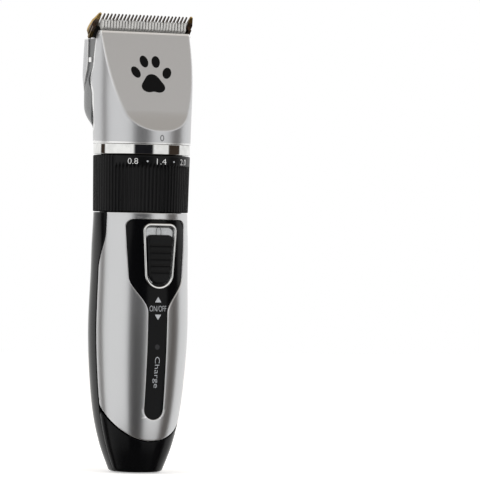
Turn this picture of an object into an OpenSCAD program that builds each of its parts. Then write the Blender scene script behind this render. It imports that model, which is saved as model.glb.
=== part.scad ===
// Cordless pet clipper. Z runs along the handle, the front faces -Y, and the
// origin is the centre of the flat base. All sizes are in millimetres.

/* [Handle] */
// Height of the handle, up to the adjusting ring
handle_h = 100.5; // [98:0.5:102]
// Radius of the flat base
base_r = 10; // [9:0.5:11]
// Radius of the handle at its fullest
grip_r = 18.85; // [18.6:0.05:19.2]
// Wall thickness of the black shells
wall = 2.2; // [1.8:0.1:2.4]
// Thickness of the silver cover
skin = 1.2; // [1:0.1:1.4]
// Depth of the switch panel below the silver cover
panel_recess = 0.5; // [0.3:0.1:0.7]
// Width of the groove round the silver cover
groove = 0.35; // [0.25:0.05:0.5]

/* [Switch] */
// Travel of the switch button
switch_travel = 3.2; // [2.8:0.1:3.2]
// Width of the bezel's rim
bezel_rim = 1; // [0.8:0.1:1]
// Height of the button
button_h = 18.9; // [17:0.1:18.9]

/* [Adjusting ring] */
// Height of the adjusting ring
ring_h = 21.9; // [20:0.1:21.9]
// Radius of the ring at its top
ring_r = 18.85; // [18.5:0.05:19]
// Radius of the fixed neck that the ring turns on
neck_r = 15.9; // [15.8:0.1:16]
// Radial running clearance of the ring
ring_fit = 0.07; // [0.03:0.01:0.1]
// Turn of the ring each way
ring_turn = 34; // [20:1:34]

/* [Head] */
// Height at which the head housing begins
head_z = 127.1; // [127:0.1:127.4]
// Height of the top edge of the head housing
head_top = 170.8; // [170:0.1:171]
// Half width of the head housing at its top
head_w = 19; // [18.6:0.1:19.2]
// Wall thickness of the head housing
head_wall = 1.8; // [1.5:0.1:1.9]
// Lean of the front facet from upright
facet_lean = 21.5; // [21:0.1:22]

/* [Blades] */
// Lean of the blades from upright
blade_lean = 45; // [44:0.5:46]
// Half width of the fixed blade
blade_w = 21.3; // [20.8:0.1:21.6]
// Pitch of the fixed blade's teeth
tooth_pitch = 1.52; // [1.5:0.01:1.54]
// Number of thin teeth on the fixed blade
tooth_count = 24; // [20:2:24]
// Width of the fixed blade's teeth at their roots
tooth_w = 0.6; // [0.5:0.01:0.8]
// Pitch of the moving blade's teeth
cutter_pitch = 1.25; // [1.2:0.01:1.28]
// Width of the moving blade's teeth at their roots
cutter_w = 0.98; // [0.6:0.01:1.05]
// Number of teeth on the moving blade
cutter_count = 29; // [25:2:29]
// Throw of the eccentric that drives the moving blade
throw = 1.2; // [0.8:0.1:1.2]

/* [Drive and power] */
// Radius of the motor can
motor_r = 12; // [11.5:0.1:12]
// Half width of the motor can across its flats
motor_flat = 9.15; // [8.8:0.05:9.15]
// Radius of the motor shaft
shaft_r = 1; // [1:0.1:1.2]
// Radius of the battery cell
cell_r = 9; // [8:0.1:9]
// Length of the battery cell
cell_h = 65; // [50:1:65]

/* [Hidden] */
$fn = 48;
eps = 0.01;
fit = 0.05;
gap = 0.3;

// Handle outline: height and radius, joined by a smooth curve
HANDLE = [[0, base_r], [10, 13.6], [22, 16.3], [38, 18], [56, grip_r], [78, 18.45],
          [handle_h, 18.3]];
handle_steps = 14;
head_steps = 11;
bracket_steps = 9;
part_low = -1.8;
part_high = -6;
part_from = 78;
part_to = 93;

tongue_z = 29;
tongue_w = 17.05;
tongue_h = 16.6;
panel_top = 98;
panel_w = 12.4;
panel_shoulder = 76;
strip_top = 62;
strip_w = 4.1;
strip_end = 20.75;

bezel_z0 = 71.2;
bezel_z1 = 96.5;
bezel_w0 = 5.4;
bezel_w1 = 7;
button_z = 73.2;
track_y = -17.2;
stem_z = 79;
stem_h = 3.2;
lever_z = 79.4;
lever_h = 2;
led_z = 48.9;

board_y = -10.4;
board_t = 1;
board_w = 8;
cell_y = 3;
cell_z = 15;
jack_y = 4.7;
jack_r = 4;
jack_bore = 2.8;
jack_pin = 1;
screw_x = 12.6;
screw_z = 66;
screw_y = -8.6;
screw_tip = 4.7;

ring_z = handle_h + gap;
collar_z = ring_z + ring_h + gap;
tube_r = 13.4;
groove_z = 111;
pusher_x0 = 6.2;
pusher_x1 = 8.2;
pusher_y0 = 9.35;
pusher_y1 = 10.3;
pusher_top = 157.2;

can_z0 = 98;
can_z1 = 128.5;
can_wall = 0.9;
cam_z = 132.5;
cam_h = 5;
pin_r = 1;
pin_top = 148.6;

facet_y = -1.3;
lip_z = 132.2;
cove_z = 140;
cove_depth = 2.4;
wrap_z = 132.9;
hook_y = 16.2;
hook_z = 134.9;
hook_r = 0.9;
blade_y = -0.2;
blade_z = 178.3;
fixed_t = 1.9;
cutter_t = 2.2;
cutter_tip = -2.5;
cutter_end = -14.3;

// ---- curves ----

function smooth(t) = let (u = min(1, max(0, t))) u * u * (3 - 2 * u);

function signed_pow(v, p) = sign(v) * pow(abs(v), p);

// Slope of the outline at point i, for a curve with no overshoot at its ends
function slope(p, i) =
    i == 0 ? (p[1][1] - p[0][1]) / (p[1][0] - p[0][0]) :
    i == len(p) - 1 ? (p[i][1] - p[i - 1][1]) / (p[i][0] - p[i - 1][0]) :
    (p[i + 1][1] - p[i - 1][1]) / (p[i + 1][0] - p[i - 1][0]);

function hermite(p, i, z) =
    let (h = p[i + 1][0] - p[i][0], t = (z - p[i][0]) / h)
    p[i][1] * (1 + 2 * t) * pow(1 - t, 2) + h * slope(p, i) * t * pow(1 - t, 2)
    + p[i + 1][1] * t * t * (3 - 2 * t) + h * slope(p, i + 1) * t * t * (t - 1);

function span_at(p, z, i = 0) = i >= len(p) - 2 || z <= p[i + 1][0] ? i : span_at(p, z, i + 1);

function curve(p, z) = hermite(p, span_at(p, z), z);

// One flat section: half width a, front depth bf, back depth bb, squareness front_n and back_n
function section(a, bf, bb, front_n, back_n, count = 44) = [
    for (i = [0:count - 1])
        let (t = 360 * (i + 0.5) / count, front = sin(t) < 0, n = front ? front_n : back_n)
        [a * signed_pow(cos(t), 2 / n), signed_pow(sin(t), 2 / n) * (front ? bf : bb)]
];

// A flat section placed at height z
function ring_at(z, points) = [for (p = points) [p[0], p[1], z]];

// The convex solid between two rings of points
module between(low, high) {
    points = concat(low, high);
    hull()
        polyhedron(points, [[for (i = [0:len(points) - 1]) i]]);
}

// A tapered outline in X and Z: a round lower end and two rounded upper corners
function tapered(z0, z1, w0, w1, r1) = concat(
    [for (t = [180:15:360]) [w0 * cos(t), z0 + w0 + w0 * sin(t)]],
    [for (t = [0:15:90]) [w1 - r1 + r1 * cos(t), z1 - r1 + r1 * sin(t)]],
    [for (t = [90:15:180]) [r1 - w1 + r1 * cos(t), z1 - r1 + r1 * sin(t)]]
);

// Extrudes an outline drawn in X and Z along Y, from y0 to y1
module along_y(y0, y1) {
    translate([0, y1, 0])
        rotate([90, 0, 0])
            linear_extrude(y1 - y0)
                children();
}

// Extrudes an outline drawn in Y and Z along X, from x0 to x1
module along_x(x0, x1) {
    translate([x0, 0, 0])
        rotate([90, 0, 90])
            linear_extrude(x1 - x0)
                children();
}

module bar(x, y, z) {
    translate([x[0], y[0], z[0]])
        cube([x[1] - x[0], y[1] - y[0], z[1] - z[0]]);
}

module tube(outer, inner, z0, z1) {
    translate([0, 0, z0])
        difference() {
            cylinder(r = outer, h = z1 - z0);
            translate([0, 0, -1])
                cylinder(r = inner, h = z1 - z0 + 2);
        }
}

// ---- handle ----

function handle_r(z) = curve(HANDLE, z);

function bulge(z) = 1.2 * sin(180 * min(1, z / 80));

function squareness(z) = 2.2 - 0.2 * smooth((z - 85) / 15);

function part_y(z) = part_low + (part_high - part_low) * smooth((z - part_from) / (part_to - part_from));

// The handle's full form, shrunk all round by inset
module handle_form(inset, z0 = 0, z1 = handle_h) {
    step = (z1 - z0) / handle_steps;
    for (i = [0:handle_steps - 1])
        between(handle_ring(z0 + i * step, inset), handle_ring(z0 + (i + 1) * step, inset));
}

function handle_ring(z, inset) =
    let (r = handle_r(min(z, handle_h)) - inset)
    ring_at(z, section(r, r, r + bulge(z), squareness(z), squareness(z)));

// Everything in front of the parting line, moved forward by back_off
module front_region(back_off = 0) {
    along_x(-40, 40)
        polygon(concat(
            [for (i = [0:24]) let (z = -1 + 103 * i / 24) [part_y(z) - back_off, z]],
            [[-40, 102], [-40, -1]]
        ));
}

// The outline of the silver cover seen from the front
module cover_outline(grow = 0) {
    polygon(concat(
        [for (t = [180:7.5:360])
            [(tongue_w + grow) * cos(t), tongue_z + (tongue_h + grow) * sin(t)]],
        [[22, tongue_z + 4], [22, handle_h + 1], [-22, handle_h + 1], [-22, tongue_z + 4]]
    ));
}

// The keyhole outline of the switch panel
module panel_outline(grow = 0) {
    w = panel_w + grow;
    s = strip_w + grow;
    r = 3 + grow;
    right = concat(
        [for (t = [-90:15:0]) [s * cos(t), strip_end + strip_w + s * sin(t)]],
        [for (i = [0:8])
            let (t = i / 8)
            [s + (w - 1 - s) * smooth(t), strip_top + (panel_shoulder - strip_top) * t]],
        [for (t = [0:15:90]) [w - r + r * cos(t), panel_top + grow - r + r * sin(t)]]
    );
    polygon(concat(right, [for (i = [len(right) - 1:-1:0]) [-right[i][0], right[i][1]]]));
}

module switch_opening(grow = 0) {
    polygon(tapered(bezel_z0 - grow, bezel_z1 + grow, bezel_w0 + grow, bezel_w1 + grow, 3));
}

module case_screw_places() {
    for (side = [-1, 1])
        translate([side * screw_x, 0, screw_z])
            rotate([-90, 0, 0])
                children();
}

module rear_shell() {
    color("#18191b")
        difference() {
            union() {
                difference() {
                    handle_form(0);
                    handle_form(wall, 2, handle_h + 1);
                }
                intersection() {
                    handle_form(wall - 0.5);
                    case_screw_places() translate([0, 0, -1]) cylinder(r = 2.2, h = 20);
                }
            }
            front_region(-eps);
            case_screw_places() translate([0, 0, -4]) cylinder(r = 1.05, h = 9.2);
            translate([0, jack_y, -1]) cylinder(r = jack_r + 0.05, h = 5);
        }
}

module front_shell() {
    color("#1b1c1e")
        difference() {
            union() {
                handle_form(skin + fit);
                intersection() {
                    handle_form(0);
                    difference() {
                        bar([-40, 40], [-40, 40], [-1, 60]);
                        along_y(-40, 40) cover_outline(groove);
                    }
                }
                intersection() {
                    handle_form(panel_recess);
                    along_y(-40, 0) panel_outline(-0.05);
                }
            }
            difference() {
                handle_form(wall + skin, 2, handle_h + 1);
                case_screw_places() translate([0, 0, -16]) cylinder(r = 2.2, h = 16);
            }
            difference() {
                bar([-40, 40], [-40, 40], [-1, 102]);
                front_region();
            }
            along_y(-30, -14.5) switch_opening(0.05);
            translate([0, 0, led_z]) rotate([90, 0, 0]) cylinder(r = 1.05, h = 30);
            case_screw_places() translate([0, 0, -16]) cylinder(r = 1.05, h = 20);
            case_screw_places() translate([0, 0, -20]) cylinder(r = 2.1, h = 20 + screw_y);
        }
}

module silver_cover() {
    color("#c9ccd1")
        difference() {
            handle_form(0);
            handle_form(skin, -1, handle_h + 1);
            difference() {
                bar([-40, 40], [-40, 40], [-1, 102]);
                intersection() {
                    front_region(groove);
                    along_y(-40, 40) cover_outline();
                }
            }
            along_y(-40, 0) panel_outline();
        }
}

module switch_bezel() {
    color("#d4d6d9")
        difference() {
            along_y(-19, -15) switch_opening();
            along_y(-20, -14) switch_opening(-bezel_rim);
        }
}

module switch_track() {
    color("#b9bcc0")
        difference() {
            along_y(track_y - 0.7, track_y) switch_opening(-bezel_rim);
            bar([-1.8, 1.8], [-20, -15], [stem_z - gap, stem_z + stem_h + switch_travel + gap]);
        }
}

module switch_button() {
    color("#141517")
        difference() {
            union() {
                along_y(-20.1, track_y - 0.8)
                    polygon(tapered(button_z, button_z + button_h, 4.2, 5.5, 2));
                bar([-1.5, 1.5], [-18.5, -14.6], [stem_z, stem_z + stem_h]);
            }
            bar([-0.9, 0.9], [-15.6, -14], [lever_z, lever_z + lever_h]);
            for (i = [0:4])
                bar([-8, 8], [-21, -19.5], [button_z + 4 + 2.6 * i, button_z + 5.2 + 2.6 * i]);
        }
}

module switch_lever() {
    color("#e8e4d8")
        bar([-0.9, 0.9], [-15.6, -12.6], [lever_z, lever_z + lever_h]);
}

module slide_switch() {
    color("#3a3d42")
        difference() {
            bar([-2.8, 2.8], [-14.2, board_y], [76, 88]);
            bar([-1.05, 1.05], [-15, -12.4], [lever_z - gap, lever_z + lever_h + switch_travel + gap]);
        }
}

module led_lens() {
    color("#0d0e10")
        translate([0, -14.6, led_z])
            rotate([90, 0, 0])
                cylinder(r = 1, h = handle_r(led_z) - panel_recess - 14.6 + 0.1);
}

module charge_led() {
    color("#d8e4d0")
        bar([-0.8, 0.8], [board_y - 1.2, board_y], [led_z - 0.8, led_z + 0.8]);
}

module circuit_board() {
    color("#2f6f4a") {
        bar([-board_w, board_w], [board_y, board_y + board_t], [30, 92]);
        bar([-3, 3], [board_y + board_t - eps, board_y + board_t + 1.2], [55, 61]);
        bar([-6, -3.5], [board_y + board_t - eps, board_y + board_t + 1], [38, 42]);
        bar([1, 5.6], [board_y + board_t - eps, board_y + board_t + 1.4], [84, 90]);
    }
}

// ---- power ----

module battery_cell() {
    color("#2d64a8")
        translate([0, cell_y, cell_z]) {
            cylinder(r = cell_r, h = cell_h);
            cylinder(r = 2.7, h = cell_h + 1);
        }
}

module battery_tabs() {
    color("#c8c9c4")
        for (z = [cell_z - 0.3, cell_z + cell_h + 1])
            bar([-3, 3], [cell_y - 5, cell_y + 5], [z, z + 0.3]);
}

module battery_cradle() {
    color("#e9e9e4")
        translate([0, cell_y, cell_z + 7])
            rotate_extrude(angle = 180)
                translate([cell_r + 0.1, 0])
                    square([1, cell_h - 14]);
}

module dc_jack() {
    color("#202226")
        translate([0, jack_y, 0]) {
            difference() {
                translate([0, 0, gap]) cylinder(r = jack_r, h = 11);
                translate([0, 0, gap - 1]) cylinder(r = jack_bore, h = 6);
                translate([0, 0, gap + 4]) cylinder(r = jack_bore - 0.2, h = 5.5);
            }
            translate([0, 0, gap + 5]) cylinder(r = jack_pin, h = 4.6);
        }
}

module case_screws() {
    color("#a9abae")
        case_screw_places() {
            translate([0, 0, screw_y - 1.6]) cylinder(r = 2, h = 1.6);
            translate([0, 0, screw_y]) cylinder(r = 1, h = screw_tip - screw_y);
        }
}

// ---- adjusting ring ----

module neck_frame() {
    color("#303338")
        difference() {
            union() {
                tube(14.7, tube_r, 93, handle_h + 1);
                tube(neck_r, tube_r, handle_h, head_z);
            }
            bar([pusher_x0 - 0.2, pusher_x1 + 0.2], [9, 20], [groove_z - 1.7, groove_z + 1.7]);
            bar([-4, 4], [-20, -14.6], [103, 107]);
            bar([-3, 3], [9, 14], [92, 93.5]);
        }
}

module detent_spring() {
    color("#b5b7ba")
        bar([-3.4, 3.4], [-15.4, -14.9], [103.4, 106.6]);
}

module adjust_ring() {
    bore = neck_r + ring_fit;
    color("#1c1d20")
        translate([0, 0, ring_z])
            rotate_extrude()
                polygon([
                    [bore, 0], [ring_r - 0.75, 0], [ring_r - 0.35, 0.4],
                    [ring_r, ring_h - 0.4], [ring_r - 0.4, ring_h], [bore, ring_h],
                    [bore, groove_z - ring_z + 1.8], [bore + 1, groove_z - ring_z + 1.8],
                    [bore + 1, groove_z - ring_z - 1.8], [bore, groove_z - ring_z - 1.8]
                ]);
}

module ring_collar() {
    color("#d9dbde")
        translate([0, 0, collar_z])
            rotate_extrude()
                polygon([
                    [neck_r, 0], [18.4, 0], [18.8, 0.4], [18.8, head_z - collar_z - 0.4],
                    [18.4, head_z - collar_z], [neck_r, head_z - collar_z]
                ]);
}

module feed_pusher() {
    color("#e5e3da") {
        bar([pusher_x0, pusher_x1], [pusher_y0, pusher_y1], [103, pusher_top]);
        bar([pusher_x0, pusher_x1], [3.4, pusher_y1], [pusher_top - 1.7, pusher_top]);
        bar([pusher_x0 + 0.3, pusher_x1 - 0.3], [pusher_y1 - 0.5, 14.2], [groove_z - 1, groove_z + 1]);
    }
}

// ---- motor and eccentric ----

// The motor's outline, a circle with two flats, shrunk by inset
module can_outline(inset = 0) {
    intersection() {
        circle(r = motor_r - inset);
        square([4 * motor_r, 2 * (motor_flat - inset)], center = true);
    }
}

module motor_can() {
    color("#b8bbbf")
        difference() {
            translate([0, 0, can_z0]) linear_extrude(can_z1 - can_z0) can_outline();
            translate([0, 0, can_z0 - 1]) linear_extrude(can_z1 - can_z0) can_outline(can_wall);
            translate([0, 0, can_z0]) cylinder(r = 3.1, h = 40);
            for (side = [-8, 8])
                translate([side, 0, can_z0]) cylinder(r = 1.3, h = 40);
        }
}

module motor_magnets() {
    color("#55585c")
        intersection() {
            tube(motor_r - can_wall, 8.5, 105, 121);
            bar([-20, 20], [-6.5, 6.5], [100, 125]);
        }
}

module motor_end_cap() {
    color("#e4e1d6")
        difference() {
            translate([0, 0, 94.5]) linear_extrude(can_z0 - 94.5) can_outline();
            translate([0, 0, 96.5]) linear_extrude(5) can_outline(can_wall);
            translate([0, 0, 90]) cylinder(r = 2.5, h = 10);
        }
}

module motor_brushes() {
    color("#8a6a3c")
        for (side = [-1, 1])
            bar([side * 3.4 - 1.15, side * 3.4 + 1.15], [-1, 1], [99.5, 102]);
}

module motor_bushes() {
    color("#b08d4f") {
        tube(2.5, shaft_r + 0.04, 94.2, 96.7);
        tube(3.1, shaft_r + 0.04, 126.5, 130.2);
    }
}

module motor_seat() {
    color("#2a2c30")
        difference() {
            union() {
                translate([0, 0, can_z1]) cylinder(r = 13.3, h = 2);
                translate([0, 0, 129.1]) cylinder(r = 15.6, h = 2);
            }
            translate([0, 0, 120]) cylinder(r = 3.15, h = 20);
            for (side = [-8, 8])
                translate([side, 0, 120]) cylinder(r = 1.25, h = 20);
            bar([pusher_x0 - gap, pusher_x1 + gap], [9, 20], [128, 132]);
            bar([-5.3, 5.3], [13.9, 20], [128, 132]);
        }
}

module motor_screws() {
    color("#a9abae")
        for (side = [-8, 8])
            translate([side, 0, 126.9]) {
                cylinder(r = 1.25, h = 4.2);
                translate([0, 0, 4.2]) cylinder(r = 2.2, h = 1.2);
            }
}

module motor_leads() {
    color("#b5302a")
        for (side = [-1, 1])
            translate([side * 6.8, -4, 0]) {
                translate([0, 0, 86]) cylinder(r = 0.6, h = 8.5);
                translate([0, 0, 86]) sphere(r = 0.6);
                translate([0, -5.4, 86]) rotate([-90, 0, 0]) cylinder(r = 0.6, h = 5.4);
            }
}

module motor_shaft() {
    color("#c3c5c8")
        translate([0, 0, 92.8]) cylinder(r = shaft_r, h = 43.7);
}

module armature() {
    color("#8d5a34")
        difference() {
            union() {
                tube(8, shaft_r, 105, 121);
                tube(5, shaft_r, 103.5, 122.5);
            }
            for (a = [30:120:270])
                rotate([0, 0, a]) bar([4.5, 9], [-0.8, 0.8], [104, 122]);
        }
}

module commutator() {
    color("#c07a3e")
        tube(2.2, shaft_r, 98.8, 103.4);
}

module eccentric_cam() {
    color("#dcdcd8") {
        difference() {
            translate([0, 0, cam_z]) cylinder(r = 5, h = cam_h);
            translate([0, 0, cam_z - 1]) cylinder(r = shaft_r, h = 136.5 - cam_z + 1);
        }
        translate([throw, 0, cam_z + cam_h - eps]) cylinder(r = pin_r, h = pin_top - cam_z - cam_h + eps);
    }
}

// ---- head ----

function head_ring(z, inset) =
    let (t = (z - head_z) / (head_top - head_z), a = 18.6 + (head_w - 18.6) * smooth(t * 2) - inset)
    ring_at(z, section(a, 18.8 - inset, 18.6 - inset, 2.15, 2.2 + 0.9 * smooth(t * 1.6)));

module head_form(inset, z0, z1) {
    step = (z1 - z0) / head_steps;
    for (i = [0:head_steps - 1])
        between(head_ring(z0 + i * step, inset), head_ring(z0 + (i + 1) * step, inset));
}

// Y of the facet at a height: flat, with a cove that flares out to the lip at its lower end
function facet_at(z) =
    facet_y - (head_top - z) * tan(facet_lean)
    - cove_depth * pow(max(0, cove_z - z) / (cove_z - lip_z), 1.5);

// Everything in front of the facet, which lies inset behind the outer one
module facet_cut(inset) {
    back = inset / cos(facet_lean);
    along_x(-40, 40)
        polygon(concat(
            [[-40, head_top + 2], [-40, lip_z - 2]],
            [for (z = [lip_z - 2:1:cove_z]) [facet_at(z) + back, z]],
            [[facet_at(head_top + 2) + back, head_top + 2]]
        ));
}

// The rear edge of the head housing seen from the side
function head_edge(z) =
    z > 158 ? 5.6 - 3.3 * pow((z - 158) / 12.8, 1.2) - 1.6 * smooth((z - 169.6) / 1.2) :
    z > 146.5 ? 5.6 + 4.4 * pow(sin(180 * (z - 146) / 12), 2) + 0.8 * (1 - smooth((z - 146.5) / 6)) :
    6.4;

module head_front(back_off = 0) {
    along_x(-40, 40)
        polygon(concat(
            [[40, head_z - 2], [40, wrap_z + back_off * 0.3], [head_edge(wrap_z) + back_off, wrap_z + back_off * 0.3]],
            [for (i = [1:32])
                let (z = wrap_z + (head_top + 1 - wrap_z) * i / 32)
                [head_edge(min(z, head_top)) + back_off, z]],
            [[-40, head_top + 1], [-40, head_z - 2]]
        ));
}

module head_housing() {
    color("#c9ccd1") {
        intersection() {
            difference() {
                head_form(0, head_z, head_top);
                facet_cut(0);
                difference() {
                    head_form(head_wall, 129.1, head_top + 1);
                    facet_cut(head_wall);
                }
                cylinder(r = 13.5, h = 135);
                translate([0, 0, 129]) cylinder(r = 15.8, h = 2.2);
            }
            head_front();
        }
        difference() {
            for (side = [-1, 1])
                bar([side * 4.3 - 0.7, side * 4.3 + 0.7], [14.2, hook_y], [128, hook_z + 1.2]);
            translate([-10, hook_y, hook_z]) rotate([0, 90, 0]) cylinder(r = hook_r, h = 20);
        }
    }
}

module hook_bar() {
    color("#a9abae")
        translate([-5, hook_y, hook_z])
            rotate([0, 90, 0])
                cylinder(r = hook_r, h = 10);
}

function bracket_ring(z, inset) =
    let (t = (z - 133) / 35, a = 19 - 0.4 * smooth(t * 3) - inset,
         back = 18.6 + 2.4 * smooth((z - 133) / 12) - 1.8 * pow(max(0, (z - 150) / 18), 1.6) - inset)
    ring_at(z, section(a, 10, back, 2.1, 2.1 + 3.6 * smooth(t * 4)));

module bracket_form(inset, z0, z1) {
    step = (z1 - z0) / bracket_steps;
    for (i = [0:bracket_steps - 1])
        between(bracket_ring(z0 + i * step, inset), bracket_ring(z0 + (i + 1) * step, inset));
}

module at_blade() {
    translate([0, blade_y, blade_z])
        rotate([blade_lean, 0, 0])
            children();
}

module blade_bracket() {
    color("#7e8186")
        difference() {
            union() {
                difference() {
                    bracket_form(0, wrap_z + 0.1, 168);
                    bracket_form(1.6, wrap_z - 1, 169);
                    head_front(0.4);
                    at_blade() bar([-17.2, 17.2], [-3.4, 9], [-19.2, 4]);
                    at_blade() bar([-30, 30], [-3.4, 9], [-12.7, 4]);
                }
                intersection() {
                    bracket_form(0.5, wrap_z + 0.1, 168);
                    at_blade() bar([-17.9, 17.9], [-5.5, -fixed_t], [-20, -15.3]);
                }
                intersection() {
                    bracket_form(0.5, wrap_z + 0.1, 168);
                    bar([-3.3, 3.3], [14.7, 20], [134.3, 137.4]);
                }
            }
            bar([-40, 40], [14, 30], [130, 134.3]);
            translate([-10, hook_y, hook_z]) rotate([0, 90, 0]) cylinder(r = hook_r + 0.06, h = 20);
            bar([-5, 5], [hook_y - hook_r - 0.06, hook_y + hook_r + 0.06], [130, hook_z]);
            for (side = [-7, 7])
                translate([side, 0, 0]) at_blade() translate([0, 0, -17]) rotate([90, 0, 0]) cylinder(r = 1.25, h = 9);
        }
}

module rear_plate() {
    color("#e6e8ea")
        difference() {
            bracket_form(-0.7, 146.5, 168);
            bracket_form(0, wrap_z + 0.1, 168);
            along_x(-40, 40)
                polygon(concat(
                    [[-40, 172], [-40, 146]],
                    [for (z = [146:2:160]) [10.5 + 9 * pow((160 - z) / 13.5, 2), z]],
                    [[10.5, 172]]
                ));
        }
}

module latch_clips() {
    color("#f2f2ef")
        for (side = [-1, 1])
            bar([side * 18.85 - 0.25, side * 18.85 + 0.25], [7.2, 9.4], [158.8, 160.6]);
}

// ---- blades, drawn upright at the tip line: Y is thickness and Z is length ----

// A comb outline in X and Z with count teeth, the tips at z1 and the roots at z0
function comb(count, pitch, tooth, z0, z1) = [
    for (i = [0:count - 1], s = [0:3])
        let (x = (i - (count - 1) / 2) * pitch, side = s < 2 ? -1 : 1, tip = s == 1 || s == 2)
        [x + side * (tip ? tooth * 0.36 : tooth * 0.5), tip ? z1 : z0]
];

module fixed_blade() {
    end_x = tooth_count / 2 * tooth_pitch + 0.38;
    color("#c3a063")
        at_blade() {
            intersection() {
                along_y(-fixed_t, 1)
                    polygon(concat(
                        [[-15, -18.5], [-15, -12.7], [-blade_w + 1, -12.2], [-blade_w, -10.2], [-blade_w, -4],
                         [-end_x - 1.4, 0.2], [-end_x - 0.8, 0.6], [-end_x - 0.3, 0.3], [-end_x, -6]],
                        comb(tooth_count, tooth_pitch, tooth_w, -6, 0.2),
                        [[end_x, -6], [end_x + 0.3, 0.3], [end_x + 0.8, 0.6], [end_x + 1.4, 0.2],
                         [blade_w, -4], [blade_w, -10.2], [blade_w - 1, -12.2], [15, -12.7], [15, -18.5]]
                    ));
                along_x(-30, 30)
                    polygon([[-fixed_t, -18.5], [-fixed_t, 0.3], [-1.7, 0.6], [-1.4, 0.6], [-1.1, -2],
                             [-0.6, -4.5], [0, -7], [0.25, -9], [0, -10.5], [0, -18.5]]);
            }
            for (side = [-1, 1])
                bar([side * 20.45 - 0.6, side * 20.45 + 0.6], [-3, -fixed_t + eps], [-11.8, -5.4]);
        }
}

module blade_screws() {
    color("#a9abae")
        for (side = [-7, 7])
            translate([side, 0, 0])
                at_blade()
                    translate([0, 0, -17])
                        rotate([90, 0, 0]) {
                            translate([0, 0, -0.7]) cylinder(r = 2.2, h = 0.7);
                            translate([0, 0, fixed_t]) cylinder(r = 1.2, h = 4);
                        }
}

module moving_blade() {
    z_root = cutter_tip - 3.2;
    half = (cutter_count - 1) / 2 * cutter_pitch + 0.3;
    color("#cfd0d1")
        at_blade()
            intersection() {
                along_y(-fixed_t - 0.05 - cutter_t, -fixed_t - 0.05)
                    polygon(concat(
                        [[-14, cutter_end], [-14, -7], [-half, -6.2]],
                        comb(cutter_count, cutter_pitch, cutter_w, z_root, cutter_tip),
                        [[half, -6.2], [14, -7], [14, cutter_end]]
                    ));
                along_x(-30, 30)
                    polygon([[-4.15, cutter_end], [-4.15, -4.6], [-2.5, cutter_tip], [-1.9, cutter_tip],
                             [-1.9, cutter_end]]);
            }
}

module drive_fork() {
    color("#26282b") {
        at_blade() bar([-6, 6], [-5, -4.15], [-9.6, -7.6]);
        bar([-3, 3], [1.1, 2.6], [150.4, 169.2]);
        bar([-4.8, 4.8], [-3, 2.6], [149.4, 151]);
        for (side = [-1, 1])
            bar([side * 4.15 - 0.65, side * 4.15 + 0.65], [-3, 2.6], [143, 149.5]);
    }
}

module feed_carriage() {
    color("#33363a") {
        at_blade() bar([-12, 12], [-5.8, -4.3], [cutter_end, -10.6]);
        bar([pusher_x0, pusher_x1], [3.8, 5.4], [pusher_top + gap, 165]);
    }
}

module blade_spring() {
    color("#b5b7ba")
        at_blade()
            for (side = [-10.2, 10.2])
                translate([side, -5.8, -12.4])
                    rotate([90, 0, 0])
                        difference() {
                            cylinder(r = 1.6, h = 1.6);
                            translate([0, 0, -1]) cylinder(r = 1.1, h = 4);
                        }
}

rear_shell();
front_shell();
silver_cover();
switch_bezel();
switch_track();
switch_button();
switch_lever();
slide_switch();
led_lens();
charge_led();
circuit_board();
battery_cell();
battery_tabs();
battery_cradle();
dc_jack();
case_screws();
neck_frame();
detent_spring();
adjust_ring();
ring_collar();
feed_pusher();
motor_can();
motor_magnets();
motor_end_cap();
motor_brushes();
motor_bushes();
motor_seat();
motor_screws();
motor_leads();
motor_shaft();
armature();
commutator();
eccentric_cam();
head_housing();
hook_bar();
blade_bracket();
rear_plate();
latch_clips();
fixed_blade();
blade_screws();
feed_carriage();
blade_spring();
moving_blade();
drive_fork();
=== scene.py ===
import math

import bmesh
import bpy
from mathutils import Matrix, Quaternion, Vector


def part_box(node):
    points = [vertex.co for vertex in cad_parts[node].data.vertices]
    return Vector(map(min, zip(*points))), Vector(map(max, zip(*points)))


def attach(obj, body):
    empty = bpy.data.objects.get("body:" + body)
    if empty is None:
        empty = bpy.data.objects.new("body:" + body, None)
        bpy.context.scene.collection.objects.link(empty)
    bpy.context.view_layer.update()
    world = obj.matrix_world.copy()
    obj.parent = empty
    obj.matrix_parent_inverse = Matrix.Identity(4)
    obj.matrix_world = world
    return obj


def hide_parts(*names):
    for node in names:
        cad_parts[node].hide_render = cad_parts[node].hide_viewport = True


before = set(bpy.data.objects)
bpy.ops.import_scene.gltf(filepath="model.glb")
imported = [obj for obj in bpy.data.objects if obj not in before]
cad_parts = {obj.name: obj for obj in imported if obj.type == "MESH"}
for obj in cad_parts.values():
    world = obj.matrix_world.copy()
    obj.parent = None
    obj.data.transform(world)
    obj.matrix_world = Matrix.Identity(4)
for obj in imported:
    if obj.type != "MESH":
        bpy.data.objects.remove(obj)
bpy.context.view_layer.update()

# Lengths below are in millimetres; mesh_from() turns them into metres.
MM = 0.001
# Points of neighbouring patches closer than this are one point.
SEAM = 0.004
VIEW_AZIMUTH = -26.0
VIEW_ROLL = 1.2
CAMERA_DISTANCE = 1.6
FRAME_WIDTH = 0.1868


def node_box(name):
    """Lowest and highest corner of a CAD node, in millimetres."""
    low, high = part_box(name)
    return Vector(low) / MM, Vector(high) / MM


def node_heights(name):
    """Lowest and highest Z of a CAD node, in millimetres."""
    return [corner.z for corner in node_box(name)]


# ------------------------------------------------------------------ sizes

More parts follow.
